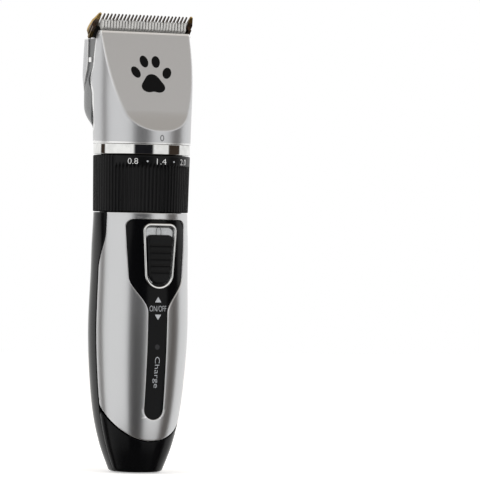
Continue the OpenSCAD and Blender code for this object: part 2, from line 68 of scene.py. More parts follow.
HANDLE_TOP = node_box("rear_shell")[1].z
RING_LOW, RING_TOP = node_heights("adjust_ring")
RING_R = node_box("adjust_ring")[1].x
COLLAR_LOW, COLLAR_TOP = node_heights("ring_collar")
COLLAR_R = node_box("ring_collar")[1].x
HEAD_LOW, HEAD_TOP = node_heights("head_housing")
WING_X = node_box("fixed_blade")[1].x - 2.2
BASE_R = 10.0
GRIP_R = 18.85
HANDLE = [(0, BASE_R), (10, 13.6), (22, 16.3), (38, 18), (56, GRIP_R), (78, 18.45),
          (HANDLE_TOP, 18.3)]
WALL = 2.2
SKIN = 1.2
PANEL_RECESS = 0.5
TONGUE_W, TONGUE_H, TONGUE_Z = 17.05, 16.6, 29
GROOVE, SEAM_GAP = 0.35, 0.06
FACET_LEAN = math.radians(21.5)
FACET_Y = -1.3
LIP_Z, COVE_Z, COVE_DEPTH = 132.2, 140.0, 2.4
HEAD_W = 19.0
SIDE_POINTS = 70
WRAP_Z = 132.9
BLADE_Y, BLADE_Z, BLADE_LEAN = -0.2, 178.3, math.radians(45)
BLADE_TAPER = 0.2
# Where the fixed blade's looks change, in its own upright frame: the heights at which its teeth and
# its wings' ground faces end, below which the gold is darkened as painted shade, and the depth at
# which the wings' gold rim starts.
TEETH_END, FACE_END, RIM_DEPTH = (-3.2, -2.6), (-8.2, -8.0), (-2.5, -2.3)


# ----------------------------------------------------------------- curves

def smooth(t):
    t = min(1.0, max(0.0, t))
    return t * t * (3 - 2 * t)


def lerp(a, b, t):
    return a + (b - a) * t


def curve(points, z):
    """The smooth curve of part.scad's outline: height to radius."""
    last = len(points) - 2
    i = next((k for k in range(last) if z <= points[k + 1][0]), last)

    def slope(k):
        a, b = max(k - 1, 0), min(k + 1, len(points) - 1)
        return (points[b][1] - points[a][1]) / (points[b][0] - points[a][0])

    (z0, r0), (z1, r1) = points[i], points[i + 1]
    h = z1 - z0
    t = (z - z0) / h
    return (r0 * (1 + 2 * t) * (1 - t) ** 2 + h * slope(i) * t * (1 - t) ** 2
            + r1 * t * t * (3 - 2 * t) + h * slope(i + 1) * t * t * (t - 1))


def super_radius(azimuth, a, front, back, n):
    """Radius of a superellipse towards an azimuth in degrees, 0 in front and 90 at +X."""
    x = abs(math.sin(math.radians(azimuth)))
    y = math.cos(math.radians(azimuth))
    depth = front if y > 0 else back
    return ((x / a) ** n + (abs(y) / depth) ** n) ** (-1 / n)


def at(azimuth, radius, z):
    angle = math.radians(azimuth)
    return Vector((radius * math.sin(angle), -radius * math.cos(angle), z))


def handle_point(azimuth, z, inset=0.0):
    r = curve(HANDLE, min(max(z, 0), HANDLE_TOP)) - inset
    bulge = 1.2 * math.sin(math.pi * min(1.0, max(z, 0) / 80))
    n = 2.2 - 0.2 * smooth((z - 85) / 15)
    return at(azimuth, super_radius(azimuth, r, r, r + bulge, n), z)


def part_y(z):
    """The Y of the line where the black shells part."""
    return -1.8 - 4.2 * smooth((z - 78) / 15)


def crossing(low, high, holds):
    """Where a condition that holds at low stops holding on the way to high, found by halving."""
    for _ in range(40):
        middle = (low + high) / 2
        if holds(middle):
            low = middle
        else:
            high = middle
    return low


def azimuth_of_x(x, z):
    """Azimuth at which the handle's front surface has this X."""
    return crossing(0.0, 90.0, lambda azimuth: handle_point(azimuth, z).x < x)


def parting_azimuth(z, behind):
    """Azimuth at which the handle's surface lies this far behind the parting line."""
    y = part_y(z) + behind
    return crossing(0.0, 180.0, lambda azimuth: handle_point(azimuth, z).y < y)


def resample(path, count):
    """count points evenly spaced along a path of (azimuth, z) pairs, ends kept."""
    scale = math.radians(1) * GRIP_R
    lengths = [0.0]
    for p, q in zip(path, path[1:]):
        lengths.append(lengths[-1] + math.hypot((q[0] - p[0]) * scale, q[1] - p[1]))
    out, k = [], 0
    for i in range(count):
        goal = lengths[-1] * i / (count - 1)
        while k < len(lengths) - 2 and lengths[k + 1] < goal:
            k += 1
        span = lengths[k + 1] - lengths[k] or 1.0
        t = (goal - lengths[k]) / span
        out.append((lerp(path[k][0], path[k + 1][0], t), lerp(path[k][1], path[k + 1][1], t)))
    return out


def mirrored(path):
    """A closed loop from a half path that starts and ends at azimuth 0."""
    return path + [(-a, z) for a, z in reversed(path[1:-1])]


# ----------------------------------------------------------------- meshes

def add_object(name, data):
    obj = bpy.data.objects.new(name, data)
    bpy.context.scene.collection.objects.link(obj)
    return obj


def mesh_from(name, points, faces, smooth_faces=True):
    mesh = bpy.data.meshes.new(name)
    mesh.from_pydata([tuple(Vector(p) * MM) for p in points], [], faces)
    mesh.validate()
    if smooth_faces:
        mesh.polygons.foreach_set("use_smooth", [True] * len(mesh.polygons))
    return add_object(name, mesh)


def grid(rows, close_rows=False, close_loop=False, offset=0):
    """Quads over equal rows. close_loop joins each row's ends, close_rows the last and first row."""
    width = len(rows[0])
    faces = []
    for i in range(len(rows) if close_rows else len(rows) - 1):
        for j in range(width if close_loop else width - 1):
            a, b = i * width, ((i + 1) % len(rows)) * width
            k = (j + 1) % width
            faces.append(tuple(offset + v for v in (a + j, a + k, b + k, b + j)))
    return faces


def skin_mesh(name, rows, close_rows=False, close_loop=False, caps=False):
    points = [p for row in rows for p in row]
    faces = grid(rows, close_rows, close_loop)
    if caps:
        width = len(rows[0])
        faces.append(tuple(range(width))[::-1])
        faces.append(tuple(range((len(rows) - 1) * width, len(rows) * width)))
    obj = mesh_from(name, points, faces)
    outward(obj)
    return obj


def outward(obj, merge=0.0):
    """Makes all faces point outwards, after merging points that lie closer than merge."""
    bm = bmesh.new()
    bm.from_mesh(obj.data)
    if merge:
        bmesh.ops.remove_doubles(bm, verts=bm.verts, dist=merge * MM)
    bmesh.ops.recalc_face_normals(bm, faces=bm.faces)
    bm.to_mesh(obj.data)
    bm.free()


def crisp(obj, width=0.0, segments=2, angle=35):
    """Rounds an object's sharp edges and keeps its broad faces flat in the light."""
    if width:
        bevel = obj.modifiers.new("edge", "BEVEL")
        bevel.width = width * MM
        bevel.segments = segments
        bevel.limit_method = "ANGLE"
        bevel.angle_limit = math.radians(angle)
        bevel.harden_normals = False
    weighted = obj.modifiers.new("normals", "WEIGHTED_NORMAL")
    weighted.keep_sharp = True


def thicken(obj, thickness):
    """Closes a surface's seams and gives it a wall on its inner side."""
    outward(obj, SEAM)
    solid = obj.modifiers.new("wall", "SOLIDIFY")
    solid.thickness = thickness * MM
    solid.offset = -1


def evaluated_mesh(obj):
    graph = bpy.context.evaluated_depsgraph_get()
    return bpy.data.meshes.new_from_object(obj.evaluated_get(graph))


def drill(obj, x, y, radius, top):
    """Cuts an upright round hole through the base of an object."""
    circle = ellipse(x, y, radius, radius, count=48)
    rows = [[(*point, z) for point in circle] for z in (-1, top)]
    cutter = skin_mesh("cutter", rows, close_loop=True, caps=True)
    cut = obj.modifiers.new("hole", "BOOLEAN")
    cut.operation = "DIFFERENCE"
    cut.solver = "EXACT"
    cut.object = cutter
    mesh = evaluated_mesh(obj)
    obj.modifiers.clear()
    obj.data = mesh
    bpy.data.objects.remove(cutter)


def joined(name, objects):
    """One object from several, which are used up."""
    points, faces = [], []
    for obj in objects:
        start = len(points)
        points += [v.co / MM for v in obj.data.vertices]
        faces += [tuple(start + v for v in p.vertices) for p in obj.data.polygons]
        bpy.data.objects.remove(obj)
    return mesh_from(name, points, faces)


def piece(obj, body, slot, material, *nodes):
    """Puts a piece on its body, in place of CAD nodes, with its material. The slot argument is not
    used.
    """
    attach(obj, body)
    if nodes:
        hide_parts(*nodes)
    obj.data.materials.clear()
    obj.data.materials.append(material)


# -------------------------------------------------------------- materials

class Nodes:
    """A node tree with short calls for the nodes that this scene uses."""

    def __init__(self, owner):
        owner.use_nodes = True
        self.tree = owner.node_tree

    def add(self, kind, **settings):
        node = self.tree.nodes.new(kind)
        for key, value in settings.items():
            if key in node.inputs:
                node.inputs[key].default_value = value
            else:
                setattr(node, key, value)
        return node

    def link(self, source, target):
        self.tree.links.new(source, target)

    def span(self, value, low, high, new_low=0.0, new_high=1.0):
        """Maps low to high of a value onto new_low to new_high."""
        node = self.add("ShaderNodeMapRange")
        for key, number in zip(("From Min", "From Max", "To Min", "To Max"),
                               (low, high, new_low, new_high)):
            node.inputs[key].default_value = number
        self.link(value, node.inputs["Value"])
        return node.outputs["Result"]

    def mix(self, factor, first, second):
        node = self.add("ShaderNodeMix", data_type="RGBA")
        self.link(factor, node.inputs["Factor"])
        for index, colour in ((6, first), (7, second)):
            if isinstance(colour, tuple):
                node.inputs[index].default_value = (*colour, 1)
            else:
                self.link(colour, node.inputs[index])
        return node.outputs[2]


class Surface(Nodes):
    """A material's nodes around its shader."""

    def __init__(self, name):
        self.material = bpy.data.materials.new(name)
        super().__init__(self.material)
        self.shader = self.tree.nodes["Principled BSDF"]
        self.coords = self.add("ShaderNodeTexCoord").outputs["Object"]

    def put(self, name, value):
        """Gives an input of the shader a number, a colour or another node's output."""
        if isinstance(value, bpy.types.NodeSocket):
            self.link(value, self.shader.inputs[name])
        else:
            self.shader.inputs[name].default_value = value

    def scaled(self, scale):
        """Object coordinates in millimetres, stretched by scale along each axis."""
        node = self.add("ShaderNodeMapping")
        node.inputs["Scale"].default_value = [s / MM for s in scale]
        self.link(self.coords, node.inputs["Vector"])
        return node.outputs["Vector"]

    def noise(self, scale, detail=4.0, rough=0.5):
        node = self.add("ShaderNodeTexNoise", Scale=1.0, Detail=detail, Roughness=rough)
        self.link(self.scaled(scale), node.inputs["Vector"])
        return node.outputs["Fac"]

    def bump(self, height, distance, strength):
        node = self.add("ShaderNodeBump", Strength=strength, Distance=distance * MM)
        self.link(height, node.inputs["Height"])
        return node.outputs["Normal"]

    def painted_edge_highlight(self):
        """About 1 on sharp convex edges and 0 on broad faces: the mask of a painted highlight."""
        node = self.add("ShaderNodeNewGeometry")
        return self.span(node.outputs["Pointiness"], 0.51, 0.54)


def plastic(name, colour, rough, coat=0.0, grain=0.02, fleck=0.35, gloss=0.5):
    """Moulded plastic: fine grain, faint flow marks and slightly uneven gloss."""
    m = Surface(name)
    fine = m.noise((3, 3, 3), 6)
    broad = m.noise((0.12, 0.12, 0.05), 3)
    paler = tuple(min(1.0, c * (1 + fleck) + 0.001) for c in colour)
    m.put("Base Color", m.mix(m.span(fine, 0.35, 0.7), colour, paler))
    m.put("Roughness", m.span(broad, 0.3, 0.7, rough * 0.85, rough * 1.2))
    m.put("Normal", m.bump(fine, grain, 0.35))
    m.put("Specular IOR Level", gloss)
    m.put("Coat Weight", coat)
    m.put("Coat Roughness", 0.05)
    return m.material


def silver_paint(name, colour, rough, metallic):
    """Metallic paint: aluminium flakes under a thin clear coat, with a near-white painted highlight
    on its sharp edges.
    """
    m = Surface(name)
    flakes = m.add("ShaderNodeTexVoronoi", Scale=1.0)
    m.link(m.scaled((9, 9, 9)), flakes.inputs["Vector"])
    sparkle = m.span(flakes.outputs["Color"], 0.0, 1.0)
    cloud = m.noise((0.08, 0.08, 0.04), 3)
    darker = tuple(c * 0.975 for c in colour)
    lighter = tuple(min(1.0, c * 1.02) for c in colour)
    paint = m.mix(sparkle, darker, lighter)
    # Painted highlight: sharp convex edges are mixed towards near-white.
    m.put("Base Color", m.mix(m.painted_edge_highlight(), paint, (0.97, 0.97, 0.97)))
    m.put("Roughness", m.span(cloud, 0.0, 1.0, rough * 0.95, rough * 1.05))
    m.put("Normal", m.bump(cloud, 0.01, 0.1))
    m.put("Metallic", metallic)
    m.put("Coat Weight", 0.2)
    m.put("Coat Roughness", 0.08)
    return m.material


def metal(name, colour, rough, grind=(0.4, 12, 12), depth=0.006, metallic=1.0):
    """Ground or plated metal with fine scratches along one direction."""
    m = Surface(name)
    lines = m.noise(grind, 5, 0.6)
    stain = m.noise((0.25, 0.25, 0.25), 4)
    stained = tuple(c * 0.8 for c in colour)
    m.put("Base Color", m.mix(m.span(stain, 0.35, 0.7), colour, stained))
    m.put("Roughness", m.span(lines, 0.3, 0.7, rough * 0.75, rough * 1.3))
    m.put("Normal", m.bump(lines, depth, 0.6))
    m.put("Metallic", metallic)
    return m.material


def blade_metal(name, gold, ground, bare):
    """Gold-coloured plating, ground off on the front, the teeth and the end wings' inner sides. On
    the wings the ground colour is brightened as painted light, and the gold below their ground faces
    is darkened as painted shade of the recess there.
    """
    m = Surface(name)
    lines = m.noise((12, 0.4, 0.4), 5, 0.6)
    upright = m.add("ShaderNodeMapping", vector_type="TEXTURE")
    upright.inputs["Location"].default_value = (0, BLADE_Y * MM, BLADE_Z * MM)
    upright.inputs["Rotation"].default_value = (BLADE_LEAN, 0, 0)
    upright.inputs["Scale"].default_value = (MM, MM, MM)
    m.link(m.coords, upright.inputs["Vector"])
    split = m.add("ShaderNodeSeparateXYZ")
    m.link(upright.outputs["Vector"], split.inputs["Vector"])
    across = m.add("ShaderNodeMath", operation="ABSOLUTE")
    m.link(split.outputs["X"], across.inputs[0])
    shade = m.span(lines, 0.3, 0.7)

    def streaked(colour):
        return m.mix(shade, colour, tuple(c * 0.8 for c in colour))

    teeth = m.mix(m.span(split.outputs["Z"], *TEETH_END), streaked(bare), streaked(ground))
    # Painted shade and light: foot is the gold darkened for the recess below the wings' ground
    # faces, and lit is the ground colour brightened on those faces.
    foot, lit = (tuple(c * k for c in colour) for colour, k in ((gold, 0.3), (ground, 2.4)))
    face = m.mix(m.span(split.outputs["Z"], *FACE_END), streaked(foot), streaked(lit))
    # Distance in front of the blade's tapered back, where the plating is left as a rim.
    depth = m.add("ShaderNodeMath", operation="MULTIPLY_ADD")
    depth.inputs[1].default_value = BLADE_TAPER
    m.link(split.outputs["Z"], depth.inputs[0])
    m.link(split.outputs["Y"], depth.inputs[2])
    plated = m.mix(m.span(depth.outputs[0], *RIM_DEPTH), face, streaked(gold))
    wing = m.span(across.outputs[0], WING_X - 0.3, WING_X)
    m.put("Base Color", m.mix(wing, teeth, plated))
    m.put("Roughness", m.span(lines, 0.3, 0.7, 0.24, 0.38))
    m.put("Normal", m.bump(lines, 0.002, 0.5))
    m.put("Metallic", 1.0)
    return m.material


def printed(name, colour, gloss=0.3):
    """Screen-printed ink, slightly uneven in cover."""
    m = Surface(name)
    cover = m.noise((6, 6, 6), 4)
    thin = tuple(c * 0.8 for c in colour)
    m.put("Base Color", m.mix(m.span(cover, 0.35, 0.65), thin, colour))
    m.put("Roughness", m.span(cover, 0.3, 0.7, 0.4, 0.55))
    m.put("Specular IOR Level", gloss)
    return m.material


BLACK = plastic("black_gloss", (0.0015, 0.0016, 0.002), 0.16, grain=0.003, gloss=0.13)
BLACK_SATIN = plastic("black_satin", (0.003, 0.0032, 0.0036), 0.36, grain=0.008, gloss=0.16)
RING_BLACK = plastic("ring_black", (0.002, 0.0021, 0.0025), 0.3, grain=0.006, gloss=0.2)
SILVER = silver_paint("silver_cover_paint", (0.64, 0.645, 0.655), 0.28, metallic=0.95)
SILVER_HEAD = silver_paint("silver_head_paint", (0.62, 0.625, 0.64), 0.35, metallic=0.95)
CHROME = metal("polished_chrome", (0.86, 0.86, 0.85), 0.05, depth=0.001)
BRACKET_GRAY = plastic("bracket_gray", (0.1, 0.104, 0.108), 0.3, coat=0.2, grain=0.012)
WHITE = plastic("white_plastic", (0.75, 0.74, 0.7), 0.35, grain=0.02, fleck=0.05)
PALE = silver_paint("pale_plate_paint", (0.48, 0.485, 0.5), 0.3, metallic=0.6)
GOLD = blade_metal("titanium_nitride", (0.66, 0.45, 0.17), (0.1, 0.075, 0.06), (0.4, 0.39, 0.38))
CUTTER = metal("ground_steel", (0.66, 0.66, 0.65), 0.5, (9, 0.4, 0.4), 0.003, metallic=0.2)
STEEL = metal("zinc_steel", (0.55, 0.56, 0.57), 0.3)
BRONZE = metal("sintered_bronze", (0.5, 0.34, 0.16), 0.45, grind=(6, 6, 6))
COPPER = metal("copper_winding", (0.6, 0.26, 0.1), 0.3, grind=(1, 1, 14), depth=0.05)
BOARD = plastic("solder_mask", (0.02, 0.16, 0.07), 0.25, coat=0.4)
CELL = plastic("cell_sleeve", (0.03, 0.12, 0.38), 0.2, coat=0.3)
WIRE = plastic("wire_insulation", (0.45, 0.02, 0.015), 0.4)
LENS = plastic("smoked_lens", (0.01, 0.01, 0.012), 0.1, grain=0.002, gloss=0.3)
INK_WHITE = printed("white_ink", (0.8, 0.81, 0.82))
INK_GRAY = printed("gray_ink", (0.45, 0.47, 0.5))
INK_BLACK = printed("black_ink", (0.0015, 0.0015, 0.002), gloss=0.12)


# ------------------------------------------------------- camera and light

def build_camera():
    data = bpy.data.cameras.new("camera")
    camera = add_object("camera", data)
    bpy.context.scene.camera = camera
    angle = math.radians(VIEW_AZIMUTH)
    back = Vector((math.sin(angle), -math.cos(angle), 0))
    right = Vector((math.cos(angle), math.sin(angle), 0))
    # The object stands left of the middle of the picture and a little below it.
    target = Vector((0, 0, 0.0908)) + right * 0.039
    camera.location = target + back * CAMERA_DISTANCE
    camera.rotation_mode = "QUATERNION"
    turn = (-back).to_track_quat("-Z", "Y")
    camera.rotation_quaternion = turn @ Quaternion((0, 0, 1), math.radians(VIEW_ROLL))
    data.sensor_width = 36
    data.lens = data.sensor_width * CAMERA_DISTANCE / FRAME_WIDTH
    data.clip_start, data.clip_end = 0.05, 20
    data.dof.use_dof = False


def build_world():
    """A soft studio all round: white panels with darker gaps, set by compass direction."""
    world = bpy.data.worlds.new("studio")
    bpy.context.scene.world = world
    m = Nodes(world)
    m.tree.nodes.clear()
    coords = m.add("ShaderNodeTexCoord")
    split = m.add("ShaderNodeSeparateXYZ")
    m.link(coords.outputs["Generated"], split.inputs["Vector"])
    # The compass angle of the direction, as 0 to 1 from straight behind the clipper.
    minus = m.add("ShaderNodeMath", operation="MULTIPLY")
    minus.inputs[1].default_value = -1
    m.link(split.outputs["Y"], minus.inputs[0])
    angle = m.add("ShaderNodeMath", operation="ARCTAN2")
    m.link(split.outputs["X"], angle.inputs[0])
    m.link(minus.outputs[0], angle.inputs[1])
    ramp = m.add("ShaderNodeValToRGB")
    m.link(m.span(angle.outputs[0], -math.pi, math.pi), ramp.inputs["Fac"])
    stops = ramp.color_ramp
    stops.interpolation = "LINEAR"
    # Azimuth from the front in degrees and the colour there; the camera is at VIEW_AZIMUTH.
    white, brown, black = (0.95, 0.95, 0.94), (0.045, 0.033, 0.025), (0.012, 0.012, 0.014)
    studio = [(-180, white), (-140, white), (-137, brown), (-124, brown), (-121, white),
              (-45, white), (-40, black), (1, black), (6, white),
              (41, white), (45, brown), (76, brown), (80, white), (180, white)]
    while len(stops.elements) > 1:
        stops.elements.remove(stops.elements[-1])
    for index, (azimuth, colour) in enumerate(studio):
        place = (azimuth + 180) / 360
        stop = stops.elements[0] if index == 0 else stops.elements.new(place)
        stop.position = place
        stop.color = (*colour, 1)

    # White walls rise above the panels to a warm gray ceiling. Below, the room falls off to dark.
    up = split.outputs["Z"]
    light = m.mix(m.span(up, 0.2, 0.3), ramp.outputs["Color"], (1.0, 1.0, 1.0))
    light = m.mix(m.span(up, 0.42, 0.62), light, (0.53, 0.495, 0.45))
    light = m.mix(m.span(up, -0.42, -0.66), light, (0.07, 0.062, 0.055))
    path = m.add("ShaderNodeLightPath")
    light = m.mix(path.outputs["Is Camera Ray"], light, (1.0, 1.0, 1.0))
    background = m.add("ShaderNodeBackground")
    m.link(light, background.inputs["Color"])
    background.inputs["Strength"].default_value = 1.0
    output = m.add("ShaderNodeOutputWorld")
    m.link(background.outputs[0], output.inputs["Surface"])


def build_stage():
    """A pale floor that fades into the white background."""
    half = 1500
    corners = [(-half, -half, 0), (half, -half, 0), (half, half, 0), (-half, half, 0)]
    floor = mesh_from("floor", corners, [(0, 1, 2, 3)])
    floor.location.z = -0.0004
    m = Surface("floor_white")
    paper = m.noise((0.2, 0.2, 0.2), 3)
    m.put("Base Color", m.mix(paper, (0.93, 0.93, 0.93), (0.96, 0.96, 0.96)))
    m.put("Roughness", 0.9)
    m.put("Specular IOR Level", 0.0)
    m.put("Emission Color", (1, 1, 1, 1))
    m.put("Emission Strength", 0.45)
    floor.data.materials.append(m.material)
    floor.visible_glossy = False


def area_light(name, azimuth, elevation, size, power):
    """A panel one metre away that lights the object without showing in it."""
    data = bpy.data.lights.new(name, "AREA")
    data.shape = "RECTANGLE"
    data.size, data.size_y = size
    data.energy = power
    light = add_object(name, data)
    a, e = math.radians(azimuth), math.radians(elevation)
    back = Vector((math.sin(a) * math.cos(e), -math.cos(a) * math.cos(e), math.sin(e)))
    light.location = Vector((0, 0, 0.09)) + back
    light.rotation_mode = "QUATERNION"
    light.rotation_quaternion = (-back).to_track_quat("-Z", "Y")
    light.visible_camera = False
    light.visible_glossy = False


# ----------------------------------------------------------------- handle

def rounded_rows(radius, steps=4):
    """(distance in from the edge, depth below the surface) pairs of a rounded edge."""
    turns = (math.pi / 2 * k / steps for k in range(steps + 1))
    return [(radius * (1 - math.cos(a)), radius * (1 - math.sin(a))) for a in turns]


def between_loops(name, inner, outer, edge, depth, rows=18):
    """A closed sheet on the handle between two loops of (azimuth, z), with rounded edges."""
    scale = math.radians(1) * GRIP_R
    columns = []
    for (a0, z0), (a1, z1) in zip(inner, outer):
        width = math.hypot((a1 - a0) * scale, z1 - z0)
        column = []

        def add(distance, below):
            t = distance / width
            column.append(handle_point(lerp(a0, a1, t), lerp(z0, z1, t), below))

        add(0, depth)
        for inward, below in rounded_rows(edge):
            add(inward, below)
        for k in range(1, rows):
            add(lerp(edge, width - edge, k / rows), 0)
        for inward, below in reversed(rounded_rows(edge)):
            add(width - inward, below)
        add(width, depth)
        for k in range(1, 6):
            add(width * (1 - k / 6), depth)
        columns.append(column)
    return skin_mesh(name, columns, close_rows=True, close_loop=True)


def tongue_path(grow=0.0, steps=160):
    """The U-shaped lower end of the cover, from the parting line to the middle."""
    path = []
    for k in range(steps + 1):
        t = -math.pi / 2 * k / steps
        x, z = (TONGUE_W + grow) * math.cos(t), TONGUE_Z + (TONGUE_H + grow) * math.sin(t)
        if x >= curve(HANDLE, z) - 0.001:
            continue
        a = azimuth_of_x(x, z)
        if a <= parting_azimuth(z, -GROOVE):
            path.append((a, z))
    return path


def cover_outer():
    top = HANDLE_TOP
    end = tongue_path()
    heights = (lerp(top, end[0][1], k / 60) for k in range(61))
    edge = [(parting_azimuth(z, -GROOVE), z) for z in heights]
    return [(0, top), edge[0]], edge, end


def panel_half(grow=0.0):
    """Right half of the keyhole outline as (azimuth, z): top edge, side and round lower end."""
    w, s, r = 12.4 + grow, 4.1 + grow, 3 + grow
    top, strip_end, shoulder, strip_top = 98 + grow, 20.75, 76, 62
    arc = [(w - r + r * math.sin(t), top - r + r * math.cos(t))
           for t in (math.pi / 2 * k / 10 for k in range(11))]
    bend = [(lerp(w - 1, s, smooth(k / 24)), lerp(shoulder, strip_top, k / 24)) for k in range(25)]
    low = [(s * math.cos(t), strip_end + s - grow - s * math.sin(t))
           for t in (math.pi / 2 * k / 16 for k in range(17))]

    def turned(points):
        return [(azimuth_of_x(x, z), z) for x, z in points]

    top_edge = turned([(w * k / 10, top) for k in range(8)]) + turned(arc)[:5]
    strip = [(s, lerp(strip_top, strip_end + s, k / 20)) for k in range(1, 21)]
    side = turned(arc[4:] + bend + strip)
    return top_edge, side, turned(low)


def loop_of(parts, counts):
    half = []
    for part, count in zip(parts, counts):
        points = resample(part, count)
        half += points if not half else points[1:]
    half[0], half[-1] = (0.0, half[0][1]), (0.0, half[-1][1])
    return mirrored(half)


COUNTS = (26, 110, 40)


def build_cover():
    inner = loop_of(panel_half(), COUNTS)
    outer = loop_of(cover_outer(), COUNTS)
    cover = between_loops("silver_cover_shell", inner, outer, 0.35, SKIN)
    crisp(cover)
    piece(cover, "handle", "silver_paint", SILVER, "silver_cover")


def section_loop(z, a0, a1, inset_out, wall, count=72, edge=0.3, flat=False):
    """A closed C-shaped section from azimuth a0 to a1, or a D shape where flat."""
    scale = math.radians(1) * 17
    out = [handle_point(a0, z, inset_out + wall)] if not flat else []
    for inward, below in rounded_rows(edge):
        out.append(handle_point(a0 + inward / scale, z, inset_out + below))
    for k in range(1, count):
        a = lerp(a0 + edge / scale, a1 - edge / scale, k / count)
        out.append(handle_point(a, z, inset_out))
    for inward, below in reversed(rounded_rows(edge)):
        out.append(handle_point(a1 - inward / scale, z, inset_out + below))
    if not flat:
        out.append(handle_point(a1, z, inset_out + wall))
        for k in range(1, count // 2):
            out.append(handle_point(lerp(a1, a0, k / (count // 2)), z, inset_out + wall))
    else:
        start, end = out[0], out[-1]
        for k in range(1, count // 2 + 2):
            out.append(end.lerp(start, k / (count // 2 + 2)))
    return out


def base_round(z, radius=0.9):
    """How far the side draws in near the flat base."""
    return radius - math.sqrt(max(0.0, radius ** 2 - (radius - z) ** 2)) if z < radius else 0.0


def shell_heights(top, step=1.1):
    """Heights of the shells' rows, closer together on the rounded base."""
    count = int((top - 2.6) / step)
    return ([0.9 * (1 - math.cos(math.pi / 2 * k / 5)) for k in range(6)] + [2.2]
            + [lerp(2.6, top - 0.3, k / count) for k in range(count + 1)] + [top])


def build_rear_shell():
    rows = []
    for z in shell_heights(HANDLE_TOP):
        a0 = parting_azimuth(z, 0.02)
        rows.append(section_loop(z, a0, 360 - a0, base_round(z), WALL, flat=z < 2.4))
    shell = skin_mesh("rear_shell_moulding", rows, close_loop=True, caps=True)
    low, high = node_box("dc_jack")
    drill(shell, (low.x + high.x) / 2, (low.y + high.y) / 2, (high.x - low.x) / 2 + 0.05, 5)
    crisp(shell)
    piece(shell, "handle", "black_plastic", BLACK, "rear_shell")


def build_front_shell():
    core = []
    for z in shell_heights(HANDLE_TOP):
        a1 = parting_azimuth(z, -SEAM_GAP)
        core.append(section_loop(z, -a1, a1, SKIN + 0.03 + base_round(z), WALL - 0.1, flat=z < 2.4))
    core = skin_mesh("core", core, close_loop=True, caps=True)
    # The chin below the silver cover, up to the groove round its tongue.
    low_edge = parting_azimuth(0, -SEAM_GAP)
    upper = resample(tongue_path(GROOVE), 60)
    upper = [(-a, z) for a, z in upper] + [(a, z) for a, z in reversed(upper[:-1])]
    columns = []
    for a_top, z_top in upper:
        share = a_top / upper[-1][0]
        column = []
        for k in range(31):
            t = smooth(k / 30) * 0.3 + 0.7 * k / 30
            z = z_top * t
            a = lerp(low_edge * share, a_top, t)
            limit = parting_azimuth(z, -SEAM_GAP)
            a = max(-limit, min(limit, share * limit if abs(share) > 0.999 else a))
            column.append(handle_point(a, z, base_round(z)))
        column[-1] = handle_point(a_top, z_top - 0.25, 0)
        column.append(handle_point(a_top, z_top - 0.07, 0.07))
        column.append(handle_point(a_top, z_top, 0.25))
        column.append(handle_point(a_top, z_top, SKIN + 0.2))
        for k in range(1, 7):
            t = 1 - k / 6
            column.append(handle_point(lerp(low_edge * share, a_top, t), z_top * t, SKIN + 0.2))
        columns.append(column)
    chin = skin_mesh("chin", columns, close_loop=True, caps=True)
    # The switch panel, a keyhole-shaped land just below the cover's surface.
    outline = loop_of(panel_half(0.6), COUNTS)
    rim = [handle_point(a, z, SKIN + 0.2) for a, z in outline]
    rows = [rim] + [[handle_point(a * t, z, PANEL_RECESS) for a, z in outline]
                    for t in (1, 0.98, 0.9, 0.75, 0.6, 0.45, 0.3, 0.15, 0.001)]
    panel = skin_mesh("panel", rows, close_loop=True)
    shell = joined("front_shell_moulding", [core, chin, panel])
    crisp(shell)
    piece(shell, "handle", "black_plastic", BLACK, "front_shell")


# ----------------------------------------------------------------- switch

def tapered_outline(z0, z1, w0, w1, r1, arc=14):
    """Outline with a round lower end and rounded upper corners, as (x, z) pairs from the left."""
    def round_part(x, z, r, start, steps):
        turns = (start + math.pi / 2 * k / arc for k in range(steps + 1))
        return [(x + r * math.cos(t), z + r * math.sin(t)) for t in turns]

    low = round_part(0, z0 + w0, w0, math.pi, 2 * arc)
    right = round_part(w1 - r1, z1 - r1, r1, 0, arc)
    return low + right + round_part(r1 - w1, z1 - r1, r1, math.pi / 2, arc)


def shrink(outline, amount):
    """The outline moved inwards by amount."""
    out = []
    for i, (x, z) in enumerate(outline):
        px, pz = outline[i - 1]
        nx, nz = outline[(i + 1) % len(outline)]
        dx, dz = nx - px, nz - pz
        size = math.hypot(dx, dz) or 1.0
        out.append((x - dz / size * amount, z + dx / size * amount))
    return out


BEZEL_LOW, BEZEL_HIGH = node_box("switch_bezel")
BEZEL = tapered_outline(BEZEL_LOW.z, BEZEL_HIGH.z, 6.0, BEZEL_HIGH.x, 3.0)
BEZEL_TOP = BEZEL_LOW.y
BUTTON_LOW_R = 4.7
TRACK_Y, TRACK_MIDDLE_Z = node_box("switch_track")[0].y, 84


def build_bezel():
    profile = [(0, 1.9), (0, 0.35), (0.1, 0.1), (0.35, 0)]
    profile += [(1 - inward, below) for inward, below in reversed(profile)]
    rows = []
    for inward, below in profile:
        rows.append([(x, BEZEL_TOP + below, z) for x, z in shrink(BEZEL, inward)])
    bezel = skin_mesh("switch_bezel_rim", rows, close_rows=True, close_loop=True)
    crisp(bezel)
    piece(bezel, "handle", "bright_metal", CHROME, "switch_bezel")


def build_track():
    """The metal floor of the switch opening."""
    inside = shrink(BEZEL, 0.98)
    rows = [[(x * t, TRACK_Y + below, lerp(TRACK_MIDDLE_Z, z, t)) for x, z in inside]
            for below, t in ((0.7, 1), (0, 1), (0, 0.9), (0, 0.5), (0, 0.02))]
    plate = skin_mesh("switch_track_plate", rows, close_loop=True, caps=True)
    piece(plate, "handle", "bright_metal", STEEL, "switch_track")


